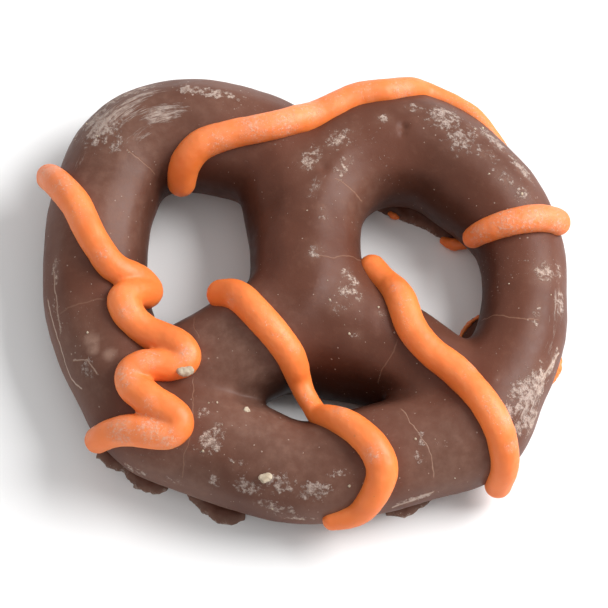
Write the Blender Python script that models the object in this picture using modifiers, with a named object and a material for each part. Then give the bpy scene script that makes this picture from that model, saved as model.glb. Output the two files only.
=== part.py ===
"""A chocolate covered pretzel with thick piped icing, lying on its flat underside.

Metres, +Z up. The notch between the two lobes points along +Y and the belly along -Y. Blender 4.5.
Run with: blender --background --python part.py
"""

import math

import bmesh
import bpy
from mathutils import Vector
from mathutils.bvhtree import BVHTree

MM = 0.001
NAME = "chocolate_pretzel"

# The coated rope, from one end, over the crossing and round both lobes, to the other end.
# Each row is x, y and height of the rope's axis and the coated radius, in millimetres.
ROPE = (
    (-15.4, -9.4, 4.8, 5.2),
    (-11.2, -7.8, 5.0, 5.9),
    (-6.6, -5.8, 5.6, 6.5),
    (-0.5, -1.6, 6.5, 6.4),
    (0.2, 6.4, 6.3, 6.1),
    (0.6, 10.6, 6.0, 6.0),
    (4.0, 16.6, 5.5, 6.3),
    (9.5, 19.2, 5.1, 6.6),
    (14.6, 18.2, 5.0, 6.3),
    (18.3, 15.3, 4.9, 6.0),
    (21.5, 12.2, 4.6, 5.7),
    (24.0, 8.0, 4.1, 4.9),
    (24.6, 1.8, 3.9, 4.7),
    (23.9, -4.0, 4.1, 5.0),
    (21.6, -9.4, 4.4, 5.2),
    (18.4, -14.8, 4.7, 6.1),
    (12.8, -17.0, 4.7, 5.9),
    (7.0, -18.6, 4.7, 6.0),
    (0.0, -20.1, 4.7, 5.5),
    (-6.4, -18.2, 4.7, 6.0),
    (-11.6, -16.0, 4.7, 6.2),
    (-16.4, -13.8, 4.7, 6.2),
    (-20.0, -8.2, 4.7, 5.9),
    (-22.8, -1.2, 4.7, 5.9),
    (-23.3, 6.1, 4.8, 5.9),
    (-22.3, 13.2, 4.9, 6.0),
    (-19.4, 18.9, 5.0, 6.2),
    (-14.5, 20.8, 5.1, 6.4),
    (-8.2, 20.0, 5.2, 6.5),
    (-2.7, 17.3, 5.3, 6.2),
    (-0.4, 8.8, 5.2, 6.0),
    (2.3, -1.4, 5.8, 6.4),
    (11.9, -6.7, 5.0, 5.2),
    (17.6, -11.4, 4.5, 5.0),
)

# Coating that ran together under the crossing and made the wall above the lowest hole steep.
WEB = (
    (-3.5, -4.6, 3.0, 4.0),
    (1.0, -5.8, 3.0, 4.2),
    (6.0, -6.6, 3.0, 4.2),
    (10.0, -8.0, 3.0, 3.8),
)

# Piped lines of icing. Each row is a spot on the coat, x, y and height, and the line's radius.
ICING = {
    "over_the_notch": (
        (-13.9, 14.2, 5.0, 1.3),
        (-13.6, 15.1, 8.0, 1.5),
        (-12.8, 16.0, 9.8, 1.6),
        (-11.2, 17.0, 10.9, 1.55),
        (-7.7, 17.9, 11.5, 1.4),
        (-4.0, 18.5, 11.4, 1.4),
        (-1.2, 19.5, 10.8, 1.45),
        (0.9, 20.5, 10.1, 1.5),
        (3.4, 21.5, 9.9, 1.4),
        (6.2, 22.8, 9.5, 1.35),
        (9.4, 23.1, 9.4, 1.25),
        (11.6, 24.0, 8.3, 1.15),
        (13.4, 24.7, 6.8, 1.05),
        (15.3, 24.4, 6.4, 0.95),
        (17.0, 23.2, 6.4, 0.8),
        (18.6, 21.6, 6.4, 0.65),
        (20.2, 19.8, 6.2, 0.5),
        (21.8, 18.0, 5.8, 0.4),
        (23.2, 16.2, 5.4, 0.3),
    ),
    "zigzag": (
        (-29.7, 15.7, 5.8, 1.3),
        (-27.4, 13.1, 8.7, 1.45),
        (-25.2, 9.7, 10.3, 1.55),
        (-23.8, 6.4, 10.6, 1.5),
        (-22.3, 3.5, 10.6, 1.4),
        (-20.8, 1.6, 10.0, 1.5),
        (-18.6, 1.3, 8.9, 1.45),
        (-16.7, 0.6, 7.7, 1.6),
        (-18.7, -0.6, 9.0, 1.6),
        (-20.1, -2.1, 10.0, 1.75),
        (-19.2, -4.0, 10.0, 1.65),
        (-17.9, -5.3, 9.7, 1.55),
        (-16.1, -6.5, 9.4, 1.75),
        (-13.8, -7.4, 10.2, 1.6),
        (-12.5, -8.9, 10.5, 1.5),
        (-14.0, -9.8, 10.3, 1.5),
        (-16.2, -9.9, 10.4, 1.65),
        (-18.2, -10.4, 10.7, 1.6),
        (-19.0, -11.8, 10.6, 1.5),
        (-17.6, -13.2, 10.7, 1.7),
        (-15.8, -14.8, 10.8, 1.75),
        (-13.4, -16.1, 10.8, 1.55),
        (-13.8, -17.5, 10.3, 1.45),
        (-15.7, -17.5, 9.9, 1.6),
        (-18.3, -16.8, 9.5, 1.6),
        (-20.9, -16.6, 7.8, 1.35),
        (-22.9, -16.1, 4.2, 1.2),
    ),
    "across_the_middle": (
        (-10.2, -1.0, 8.8, 1.35),
        (-7.6, -1.8, 10.3, 1.5),
        (-5.7, -3.8, 11.9, 1.55),
        (-3.7, -6.1, 12.2, 1.5),
        (-1.7, -8.3, 10.8, 1.45),
        (-0.6, -10.3, 8.6, 1.2),
        (0.4, -12.4, 7.3, 0.75),
        (2.2, -14.9, 8.5, 1.1),
        (5.1, -17.1, 10.1, 1.4),
        (7.3, -19.2, 10.6, 1.55),
        (8.4, -21.3, 9.8, 1.6),
        (7.8, -22.8, 8.4, 1.4),
        (6.1, -24.1, 6.1, 1.2),
        (3.8, -24.4, 5.1, 0.9),
        (1.6, -24.7, 4.5, 0.5),
    ),
    "down_the_right": (
        (7.2, 4.9, 6.0, 1.0),
        (8.9, 3.2, 6.4, 1.3),
        (9.7, 0.7, 7.6, 1.5),
        (10.2, -2.4, 9.2, 1.6),
        (11.6, -5.5, 10.2, 1.5),
        (13.9, -8.2, 10.0, 1.45),
        (16.5, -10.3, 9.9, 1.55),
        (18.8, -13.4, 10.7, 1.45),
        (20.5, -16.2, 10.0, 1.5),
        (21.3, -18.8, 7.4, 1.4),
        (21.5, -20.7, 4.4, 1.35),
        (21.4, -21.6, 1.8, 1.2),
    ),
    "round_the_side": (
        (18.5, 8.0, 5.2, 0.8),
        (20.5, 7.7, 8.1, 1.1),
        (23.4, 8.1, 9.2, 1.3),
        (26.2, 8.7, 8.5, 1.35),
        (28.4, 9.0, 5.4, 1.25),
    ),
}

# Feet where the wet coating spread on the tray, as x, y, height and radius.
FEET = (
    ((-22.3, -15.0, -1.6, 2.3), (-20.6, -16.1, -1.6, 2.4), (-18.6, -17.2, -1.6, 2.3)),
    (
        (-18.6, -17.4, -1.6, 2.4), (-17.5, -18.5, -1.6, 2.5),
        (-16.6, -18.9, -1.6, 2.5), (-15.3, -18.3, -1.6, 2.3),
    ),
    (
        (-11.9, -19.4, -1.6, 2.4), (-10.3, -21.2, -1.6, 2.5),
        (-8.8, -22.2, -1.6, 2.6), (-6.4, -22.2, -1.6, 2.4),
    ),
    ((8.8, -21.8, -1.6, 2.3), (10.8, -21.6, -1.6, 2.5), (13.4, -19.9, -1.6, 2.3)),
    ((8.4, 15.6, -1.6, 2.4), (12.6, 14.3, -1.6, 2.7), (16.2, 12.4, -1.6, 2.7), (18.4, 10.0, -1.6, 2.5)),
    ((19.4, -5.0, -1.6, 2.3), (19.2, -2.8, -1.6, 2.6), (20.4, 0.0, -1.6, 2.3)),
)

TUBE_ROUNDNESS = 3
TUBE_STEPS = 6

# How finely the tubes are run together and how far their inner corners fill, in millimetres,
# and how many triangles are kept.
COAT_VOXEL = 0.55
COAT_FILLET = 1.7
COAT_FACES = 4600
TRIM_VOXEL = 0.4
TRIM_FILLET = 0.25
ICING_SPREAD = 0.8
ICING_FACES = 3900
FEET_FACES = 700

# An icing line's points and its tube's rings, in millimetres. The line's middle is lifted off the
# coat by a part of its radius, and its ends are rounded off by thinner last rings.
LINE_STEP = 0.5
RING_STEP = 1.6
LINE_LIFT = 0.35
LINE_SETTLE = 3
END_THINNING = 0.6

# A line this near to the coat lies on it, and one this far off it hangs free, in millimetres.
TOUCHING = 1.0
HANGING = 1.8

CHOCOLATE_COLOUR = (0.16, 0.075, 0.05, 1.0)
CHOCOLATE_ROUGHNESS = 0.45
ICING_COLOUR = (0.80, 0.26, 0.08, 1.0)
ICING_ROUGHNESS = 0.5
SHARP_ANGLE = math.radians(50)

FLOOR_WIDTH = 90 * MM
FLOOR_DEPTH = 10 * MM


def clear_scene():
    for obj in list(bpy.data.objects):
        bpy.data.objects.remove(obj)


def collection(name):
    made = bpy.data.collections.new(name)
    bpy.context.scene.collection.children.link(made)
    return made


def link_only(obj, home):
    for old in obj.users_collection:
        old.objects.unlink(obj)
    home.objects.link(obj)


def material(name, colour, roughness):
    made = bpy.data.materials.new(name)
    made.use_nodes = True
    shader = made.node_tree.nodes["Principled BSDF"]
    shader.inputs["Base Color"].default_value = colour
    shader.inputs["Roughness"].default_value = roughness
    shader.inputs["Metallic"].default_value = 0.0
    made.diffuse_color = colour
    return made


def as_mesh(obj):
    """The evaluated object as a plain mesh object of the same name, its caps welded."""
    bpy.context.view_layer.update()
    graph = bpy.context.evaluated_depsgraph_get()
    mesh = bpy.data.meshes.new_from_object(obj.evaluated_get(graph))
    weld = bmesh.new()
    weld.from_mesh(mesh)
    bmesh.ops.remove_doubles(weld, verts=weld.verts, dist=0.01 * MM)
    weld.to_mesh(mesh)
    weld.free()
    name = obj.name
    matrix = obj.matrix_world.copy()
    bpy.data.objects.remove(obj)
    made = bpy.data.objects.new(name, mesh)
    made.matrix_world = matrix
    bpy.context.scene.collection.objects.link(made)
    return made


def tube(name, points):
    """A mesh tube on a smooth curve through points of x, y, z and radius, in millimetres."""
    curve = bpy.data.curves.new(name, "CURVE")
    curve.dimensions = "3D"
    curve.bevel_depth = MM
    curve.bevel_resolution = TUBE_ROUNDNESS
    curve.resolution_u = TUBE_STEPS
    curve.use_fill_caps = True
    spline = curve.splines.new("BEZIER")
    spline.bezier_points.add(len(points) - 1)
    for knot, (x, y, z, radius) in zip(spline.bezier_points, points):
        knot.co = Vector((x, y, z)) * MM
        knot.radius = radius
        knot.handle_left_type = "AUTO"
        knot.handle_right_type = "AUTO"
    obj = bpy.data.objects.new(name, curve)
    bpy.context.scene.collection.objects.link(obj)
    return as_mesh(obj)


def joined(objs):
    """The meshes of objs as one object, the first."""
    together = bmesh.new()
    for obj in objs:
        together.from_mesh(obj.data)
    together.to_mesh(objs[0].data)
    together.free()
    for obj in objs[1:]:
        bpy.data.objects.remove(obj)
    return objs[0]


def melted(obj, voxel, fillet):
    """Runs overlapping tubes into one body and rounds its inner corners by about fillet."""
    remesh = obj.modifiers.new("run_together", "REMESH")
    remesh.mode = "VOXEL"
    remesh.voxel_size = voxel * MM
    smooth = obj.modifiers.new("round_corners", "SMOOTH")
    smooth.factor = 0.5
    smooth.iterations = round(4 * (fillet / voxel) ** 2)
    return as_mesh(obj)


def thinned(obj, faces):
    triangles = sum(len(face.vertices) - 2 for face in obj.data.polygons)
    thin = obj.modifiers.new("thin_faces", "DECIMATE")
    thin.ratio = faces / triangles
    return as_mesh(obj)


def swollen(points, fillet):
    """The same points, their radii larger by what rounding the corners takes off again."""
    return [(x, y, z, math.hypot(radius, fillet)) for x, y, z, radius in points]


def make_coat():
    tubes = [
        tube("rope", swollen(ROPE, COAT_FILLET)),
        tube("web", swollen(WEB, COAT_FILLET)),
    ]
    return melted(joined(tubes), COAT_VOXEL, COAT_FILLET)


def blended(points, step):
    """Points a step apart on the smooth curve through points, each a vector of x, y, z and radius."""
    rows = [Vector(point) for point in points]
    rows = [2 * rows[0] - rows[1]] + rows + [2 * rows[-1] - rows[-2]]
    line = []
    for before, start, end, after in zip(rows, rows[1:], rows[2:], rows[3:]):
        count = max(1, round((end - start).xyz.length / step))
        for i in range(count):
            t = i / count
            bend = 2 * before - 5 * start + 4 * end - after + (3 * (start - end) + after - before) * t
            line.append(start + 0.5 * t * (end - before + bend * t))
    return line + [rows[-2]]


def laid(points, coat):
    """A line's points set down on the coat. It sags freely where it is too far off to touch."""
    line = blended(points, LINE_STEP)
    for i, point in enumerate(line):
        spot, normal, _, gap = coat.find_nearest(point.xyz * MM)
        hold = min(1, max(0, (HANGING - gap / MM) / (HANGING - TOUCHING)))
        rest = spot / MM + LINE_LIFT * point.w * normal
        line[i] = point.xyz.lerp(rest, hold).to_4d()
        line[i].w = point.w
    for _ in range(LINE_SETTLE):
        inner = [(a + 2 * b + c) / 4 for a, b, c in zip(line, line[1:], line[2:])]
        line = [line[0]] + inner + [line[-1]]
    for end in (line[0], line[-1]):
        end.w *= END_THINNING
    rings = round(len(line) * LINE_STEP / RING_STEP)
    return [tuple(line[round(i * (len(line) - 1) / rings)]) for i in range(rings + 1)]


def make_icing(coat):
    graph = bpy.context.evaluated_depsgraph_get()
    tree = BVHTree.FromObject(coat, graph)
    tubes = [tube(name, swollen(laid(points, tree), ICING_SPREAD)) for name, points in ICING.items()]
    return thinned(melted(joined(tubes), TRIM_VOXEL, TRIM_FILLET), ICING_FACES)


def make_feet():
    tubes = [tube("foot", points) for points in FEET]
    return thinned(melted(joined(tubes), TRIM_VOXEL, TRIM_FILLET), FEET_FACES)


def fuse(obj, pieces):
    """One Boolean union of obj with everything in the collection pieces, which is then removed."""
    union = obj.modifiers.new("fuse", "BOOLEAN")
    union.operation = "UNION"
    union.operand_type = "COLLECTION"
    union.collection = pieces
    union.solver = "EXACT"
    union.material_mode = "TRANSFER"
    fused = as_mesh(obj)
    for piece in list(pieces.objects):
        bpy.data.objects.remove(piece)
    bpy.data.collections.remove(pieces)
    return fused


def cut_underside(obj, finish, home):
    """Takes away what is below the floor, so that the pretzel stands on flat chocolate."""
    bpy.ops.mesh.primitive_cube_add(size=1, location=(0, 0, -FLOOR_DEPTH / 2))
    floor = bpy.context.object
    floor.name = "floor_cutter"
    floor.scale = (FLOOR_WIDTH, FLOOR_WIDTH, FLOOR_DEPTH)
    floor.hide_render = True
    floor.display_type = "WIRE"
    floor.data.materials.append(finish)
    link_only(floor, home)
    cut = obj.modifiers.new("cut_underside", "BOOLEAN")
    cut.operation = "DIFFERENCE"
    cut.object = floor
    cut.solver = "MANIFOLD"
    return as_mesh(obj)


def centre(obj):
    """Moves the mesh so that the origin is in the middle of its underside."""
    corners = [Vector(corner) for corner in obj.bound_box]
    middle = (corners[0] + corners[6]) / 2
    for vert in obj.data.vertices:
        vert.co.x -= middle.x
        vert.co.y -= middle.y


def main():
    clear_scene()
    home = collection(NAME)
    pieces = collection("pieces_to_fuse")
    chocolate = material("chocolate", CHOCOLATE_COLOUR, CHOCOLATE_ROUGHNESS)
    orange = material("orange_icing", ICING_COLOUR, ICING_ROUGHNESS)
    coat = make_coat()
    icing = make_icing(coat)
    feet = make_feet()
    coat = thinned(coat, COAT_FACES)
    for obj, finish in ((coat, chocolate), (icing, orange), (feet, chocolate)):
        obj.data.materials.clear()
        obj.data.materials.append(finish)
    link_only(icing, pieces)
    link_only(feet, pieces)
    pretzel = cut_underside(fuse(coat, pieces), chocolate, collection("cutters"))
    centre(pretzel)
    pretzel.name = NAME
    pretzel.data.shade_smooth()
    pretzel.data.set_sharp_from_angle(angle=SHARP_ANGLE)
    link_only(pretzel, home)


main()
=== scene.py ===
"""The looks of a chocolate covered pretzel with piped orange icing, lying on a pale floor.

The rows of points and the sizes under them are in millimetres, and the studio's sizes in metres, +Z
up. The notch between the two lobes points along +Y and the belly along -Y.
"""

import math
import random

import bpy
import numpy as np
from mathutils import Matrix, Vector
from mathutils.bvhtree import BVHTree
from mathutils.kdtree import KDTree


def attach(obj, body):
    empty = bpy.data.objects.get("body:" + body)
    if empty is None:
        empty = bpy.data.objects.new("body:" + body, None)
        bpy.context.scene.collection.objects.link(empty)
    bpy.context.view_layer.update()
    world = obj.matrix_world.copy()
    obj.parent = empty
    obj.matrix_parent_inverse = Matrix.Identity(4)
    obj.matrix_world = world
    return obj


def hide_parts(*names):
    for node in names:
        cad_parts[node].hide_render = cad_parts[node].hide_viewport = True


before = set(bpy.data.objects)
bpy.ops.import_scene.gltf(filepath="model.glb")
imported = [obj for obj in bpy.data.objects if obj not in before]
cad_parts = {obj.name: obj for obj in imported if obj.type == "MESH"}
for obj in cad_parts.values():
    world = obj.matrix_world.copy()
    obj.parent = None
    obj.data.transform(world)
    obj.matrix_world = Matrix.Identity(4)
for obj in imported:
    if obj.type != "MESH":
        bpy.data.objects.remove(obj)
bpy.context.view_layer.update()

MM = 0.001

# Where the rows' origin lies in the model, whose own origin is under the middle of its box.
ROWS_ORIGIN = Vector((0.27, -0.24, 0.0)) * MM

# The coated rope, from one end, over the crossing and round both lobes, to the other end.
# Each row is x, y and height of the rope's axis and the coated radius.
ROPE = (
    (-15.4, -9.4, 4.8, 5.2),
    (-11.2, -7.8, 5.0, 5.9),
    (-6.6, -5.8, 5.6, 6.5),
    (-0.5, -1.6, 6.5, 6.4),
    (0.2, 6.4, 6.3, 6.1),
    (0.6, 10.6, 6.0, 6.0),
    (4.0, 16.6, 5.5, 6.3),
    (9.5, 19.2, 5.1, 6.6),
    (14.6, 18.2, 5.0, 6.3),
    (18.3, 15.3, 4.9, 6.0),
    (21.5, 12.2, 4.6, 5.7),
    (24.0, 8.0, 4.1, 4.9),
    (24.6, 1.8, 3.9, 4.7),
    (23.9, -4.0, 4.1, 5.0),
    (21.6, -9.4, 4.4, 5.2),
    (18.4, -14.8, 4.7, 6.1),
    (12.8, -17.0, 4.7, 5.9),
    (7.0, -18.6, 4.7, 6.0),
    (0.0, -20.1, 4.7, 5.5),
    (-6.4, -18.2, 4.7, 6.0),
    (-11.6, -16.0, 4.7, 6.2),
    (-16.4, -13.8, 4.7, 6.2),
    (-20.0, -8.2, 4.7, 5.9),
    (-22.8, -1.2, 4.7, 5.9),
    (-23.3, 6.1, 4.8, 5.9),
    (-22.3, 13.2, 4.9, 6.0),
    (-19.4, 18.9, 5.0, 6.2),
    (-14.5, 20.8, 5.1, 6.4),
    (-8.2, 20.0, 5.2, 6.5),
    (-2.7, 17.3, 5.3, 6.2),
    (-0.4, 8.8, 5.2, 6.0),
    (2.3, -1.4, 5.8, 6.4),
    (11.9, -6.7, 5.0, 5.2),
    (17.6, -11.4, 4.5, 5.0),
)

# Coating that ran together under the crossing and made the wall above the lowest hole steep.
WEB = (
    (-3.5, -4.6, 3.0, 4.0),
    (1.0, -5.8, 3.0, 4.2),
    (6.0, -6.6, 3.0, 4.2),
    (10.0, -8.0, 3.0, 3.8),
)

# Piped lines of icing. Each row is a spot on the coat, x, y and height, and the line's radius.
ICING = {
    "over_the_notch": (
        (-13.9, 14.2, 5.0, 1.3),
        (-13.6, 15.1, 8.0, 1.5),
        (-12.8, 16.0, 9.8, 1.6),
        (-11.2, 17.0, 10.9, 1.55),
        (-7.7, 17.9, 11.5, 1.4),
        (-4.0, 18.5, 11.4, 1.4),
        (-1.2, 19.5, 10.8, 1.45),
        (0.9, 20.5, 10.1, 1.5),
        (3.4, 21.5, 9.9, 1.4),
        (6.2, 22.8, 9.5, 1.35),
        (9.4, 23.1, 9.4, 1.25),
        (11.6, 24.0, 8.3, 1.15),
        (13.4, 24.7, 6.8, 1.05),
        (15.3, 24.4, 6.4, 0.95),
        (17.0, 23.2, 6.4, 0.8),
        (18.6, 21.6, 6.4, 0.65),
        (20.2, 19.8, 6.2, 0.5),
        (21.8, 18.0, 5.8, 0.4),
        (23.2, 16.2, 5.4, 0.3),
    ),
    "zigzag": (
        (-29.7, 15.7, 5.8, 1.3),
        (-27.4, 13.1, 8.7, 1.45),
        (-25.2, 9.7, 10.3, 1.55),
        (-23.8, 6.4, 10.6, 1.5),
        (-22.3, 3.5, 10.6, 1.4),
        (-20.8, 1.6, 10.0, 1.5),
        (-18.6, 1.3, 8.9, 1.45),
        (-16.7, 0.6, 7.7, 1.6),
        (-18.7, -0.6, 9.0, 1.6),
        (-20.1, -2.1, 10.0, 1.75),
        (-19.2, -4.0, 10.0, 1.65),
        (-17.9, -5.3, 9.7, 1.55),
        (-16.1, -6.5, 9.4, 1.75),
        (-13.8, -7.4, 10.2, 1.6),
        (-12.5, -8.9, 10.5, 1.5),
        (-14.0, -9.8, 10.3, 1.5),
        (-16.2, -9.9, 10.4, 1.65),
        (-18.2, -10.4, 10.7, 1.6),
        (-19.0, -11.8, 10.6, 1.5),
        (-17.6, -13.2, 10.7, 1.7),
        (-15.8, -14.8, 10.8, 1.75),
        (-13.4, -16.1, 10.8, 1.55),
        (-13.8, -17.5, 10.3, 1.45),
        (-15.7, -17.5, 9.9, 1.6),
        (-18.3, -16.8, 9.5, 1.6),
        (-20.9, -16.6, 7.8, 1.35),
        (-22.9, -16.1, 4.2, 1.2),
    ),
    "across_the_middle": (
        (-10.2, -1.0, 8.8, 1.35),
        (-7.6, -1.8, 10.3, 1.5),
        (-5.7, -3.8, 11.9, 1.55),
        (-3.7, -6.1, 12.2, 1.5),
        (-1.7, -8.3, 10.8, 1.45),
        (-0.6, -10.3, 8.6, 1.2),
        (0.4, -12.4, 7.3, 0.75),
        (2.2, -14.9, 8.5, 1.1),
        (5.1, -17.1, 10.1, 1.4),
        (7.3, -19.2, 10.6, 1.55),
        (8.4, -21.3, 9.8, 1.6),
        (7.8, -22.8, 8.4, 1.4),
        (6.1, -24.1, 6.1, 1.2),
        (3.8, -24.4, 5.1, 0.9),
        (1.6, -24.7, 4.5, 0.5),
    ),
    "down_the_right": (
        (7.1, 4.7, 7.0, 1.25),
        (8.3, 3.1, 7.3, 1.45),
        (9.3, 1.0, 8.1, 1.5),
        (10.2, -2.2, 9.2, 1.6),
        (11.6, -5.5, 10.2, 1.5),
        (13.9, -8.2, 10.0, 1.45),
        (16.5, -10.3, 9.9, 1.55),
        (18.8, -13.4, 10.7, 1.45),
        (20.5, -16.2, 10.0, 1.5),
        (21.3, -18.8, 7.4, 1.4),
        (21.5, -20.7, 4.4, 1.35),
        (21.4, -21.6, 1.8, 1.2),
    ),
    "round_the_side": (
        (18.5, 8.0, 5.2, 0.8),
        (20.5, 7.7, 8.1, 1.1),
        (23.4, 8.1, 9.2, 1.3),
        (26.2, 8.7, 8.5, 1.35),
        (28.4, 9.0, 5.4, 1.25),
    ),
}

# Small runs of icing that broke off or seeped under the coat's edge, as x, y, height and radius.
ICING_BITS = (
    ((19.8, 0.5, 0.7, 0.2), (18.4, -0.6, 0.6, 0.3), (17.2, -2.6, 0.5, 0.2)),
    ((28.2, -5.0, 3.0, 0.4), (27.9, -7.0, 3.0, 0.7), (26.9, -8.9, 2.6, 0.4)),
    ((15.5, 9.9, 0.7, 0.4), (16.8, 9.2, 1.0, 0.75), (18.2, 9.0, 1.3, 0.5), (19.0, 9.2, 1.6, 0.3)),
    ((9.6, 13.4, 0.6, 0.3), (10.3, 12.8, 0.6, 0.4), (10.9, 12.7, 0.5, 0.2)),
)

# Feet where the wet coating spread on the tray, as x, y, height and radius.
FEET = (
    ((-22.3, -15.0, -1.6, 2.3), (-20.6, -16.1, -1.6, 2.4), (-18.6, -17.2, -1.6, 2.3)),
    (
        (-18.6, -17.4, -1.6, 2.4), (-17.5, -18.5, -1.6, 2.5),
        (-16.6, -18.9, -1.6, 2.5), (-15.3, -18.3, -1.6, 2.3),
    ),
    (
        (-11.9, -19.4, -1.6, 2.4), (-10.3, -21.2, -1.6, 2.5),
        (-8.8, -22.2, -1.6, 2.6), (-6.4, -22.2, -1.6, 2.4),
    ),
    ((8.8, -21.8, -1.6, 2.3), (10.8, -21.6, -1.6, 2.5), (13.4, -19.9, -1.6, 2.3)),
    ((8.4, 15.6, -1.6, 2.4), (12.6, 14.3, -1.6, 2.7), (16.2, 12.4, -1.6, 2.7), (18.4, 10.0, -1.6, 2.5)),
    ((19.4, -5.0, -1.6, 2.3), (19.2, -2.8, -1.6, 2.6), (20.4, 0.0, -1.6, 2.3)),
)

# Pits in the coat, as a spot on it, the pit's radius and its depth.
PITS = (
    (11.1, 18.8, 11.6, 0.7, 0.45),
    (11.0, 17.9, 11.6, 0.5, 0.25),
    (2.2, 13.6, 11.8, 0.8, 0.25),
    (22.9, -12.9, 9.4, 0.7, 0.2),
)

# Rubbed patches of pale bloom, as a spot on the coat, the patch's half length along the rope and
# half width across it, and how much of it is covered.
FLECKED = (
    (-20.9, 24.1, 8.4, 3.8, 2.0, 0.95),
    (-22.3, 19.1, 10.0, 3.4, 2.4, 0.95),
    (-23.6, 21.0, 8.9, 2.6, 1.6, 0.95),
    (-18.2, 24.6, 9.2, 2.8, 1.4, 0.85),
    (-20.9, 16.7, 11.0, 1.4, 0.9, 0.9),
    (-10.4, 23.4, 11.0, 4.8, 1.2, 0.8),
    (-13.0, 23.8, 10.8, 1.3, 1.0, 1.0),
    (0.8, 14.8, 11.6, 2.2, 1.6, 0.8),
    (3.8, 17.0, 11.7, 2.4, 1.6, 0.75),
    (4.3, 13.6, 11.5, 2.4, 1.2, 0.75),
    (1.2, 11.1, 11.9, 2.0, 1.0, 0.6),
    (2.2, 8.0, 12.0, 2.0, 1.0, 0.6),
    (1.3, 3.0, 12.6, 1.3, 1.1, 0.85),
    (8.9, 19.8, 11.5, 1.0, 0.8, 0.8),
    (12.5, 21.4, 11.2, 1.8, 1.0, 0.75),
    (15.8, 20.6, 11.2, 2.6, 2.6, 0.9),
    (17.6, 17.6, 11.4, 2.4, 2.2, 0.85),
    (19.3, 19.2, 10.6, 2.6, 1.6, 0.7),
    (20.4, 16.0, 10.8, 2.4, 1.4, 0.7),
    (22.4, 13.0, 10.3, 2.6, 1.3, 0.75),
    (21.3, 18.3, 9.1, 3.0, 1.5, 0.9),
    (24.3, 15.0, 8.6, 2.6, 1.4, 0.9),
    (24.6, 11.4, 9.4, 1.8, 2.0, 0.7),
    (26.5, 2.4, 8.3, 1.8, 1.5, 0.95),
    (28.2, 3.0, 7.0, 1.6, 0.9, 0.75),
    (28.3, -0.8, 6.8, 1.8, 1.1, 0.95),
    (25.5, -3.2, 8.8, 2.8, 0.7, 0.7),
    (25.6, -11.0, 7.8, 2.8, 2.2, 1.0),
    (23.2, -12.6, 9.4, 2.0, 1.6, 0.85),
    (25.0, -14.6, 7.0, 2.4, 1.8, 1.0),
    (22.3, -14.8, 9.5, 2.0, 1.2, 0.85),
    (-10.8, -15.4, 10.8, 1.0, 1.2, 0.75),
    (-10.0, -18.4, 10.4, 1.6, 2.6, 0.85),
    (-7.4, -21.2, 9.8, 2.0, 1.2, 0.65),
    (-9.7, -22.2, 8.0, 1.0, 1.2, 0.75),
    (-6.0, -23.1, 8.4, 2.4, 1.2, 0.8),
    (-2.6, -22.8, 9.0, 2.4, 1.6, 0.8),
    (-3.2, -24.7, 6.8, 3.2, 1.4, 0.75),
    (1.2, -23.6, 8.8, 2.2, 1.5, 0.95),
    (3.8, -22.1, 9.9, 1.8, 0.7, 0.7),
    (12.7, -18.3, 10.4, 0.7, 1.2, 0.85),
    (12.3, -20.3, 9.8, 1.0, 0.9, 0.7),
    (14.9, -18.7, 10.1, 1.2, 0.8, 0.6),
    (5.1, 0.4, 11.3, 1.8, 1.1, 0.85),
    (5.0, -1.4, 11.6, 2.2, 1.8, 0.75),
    (3.6, -3.4, 11.8, 1.6, 1.2, 0.6),
    (-23.2, -7.0, 10.0, 1.2, 0.6, 0.45),
    (-21.1, -8.4, 10.4, 0.8, 0.6, 0.45),
    (-23.6, -9.6, 9.2, 1.6, 1.5, 0.75),
    (-27.0, -3.0, 8.2, 3.2, 0.8, 0.75),
    (-27.5, 2.6, 8.9, 2.4, 0.8, 0.8),
    (-18.5, -20.0, 4.8, 2.6, 1.2, 0.75),
    (8.5, -3.8, 10.9, 0.7, 0.5, 0.8),
    (5.7, -6.4, 10.9, 1.2, 0.7, 0.6),
    (21.2, -10.9, 10.1, 0.9, 0.3, 0.8),
    (24.2, -12.4, 8.6, 2.6, 2.2, 1.0),
    (23.4, -16.0, 8.1, 2.4, 1.2, 0.9),
    (27.2, -8.0, 6.6, 2.8, 0.6, 1.0),
    (12.2, -23.3, 5.3, 2.8, 0.6, 1.0),
    (-1.0, -25.4, 5.4, 3.4, 0.8, 0.8),
    (-14.2, -21.4, 5.8, 2.0, 0.9, 0.75),
    (-23.9, 22.2, 7.2, 2.6, 0.8, 0.95),
    (-21.0, 24.6, 7.6, 2.6, 0.9, 0.95),
    (-25.2, 19.9, 8.0, 1.8, 0.8, 0.8),
)

# Patches rubbed along the rope, in rows like those above.
STREAKED = (
    (-20.4, 21.6, 10.4, 5.6, 1.7, 0.9),
    (-18.8, 20.4, 11.0, 4.6, 1.1, 0.75),
    (-15.8, 20.6, 11.3, 4.4, 1.6, 0.9),
    (-22.0, 20.4, 9.9, 4.4, 1.6, 0.95),
    (-18.0, 18.2, 11.1, 3.6, 1.2, 0.6),
    (-24.6, 15.6, 10.0, 2.0, 0.8, 0.65),
    (1.1, 10.0, 12.0, 5.0, 1.2, 0.5),
    (27.6, -3.0, 7.2, 6.0, 1.3, 0.65),
    (24.9, -12.6, 8.0, 4.0, 2.4, 0.8),
)

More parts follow.
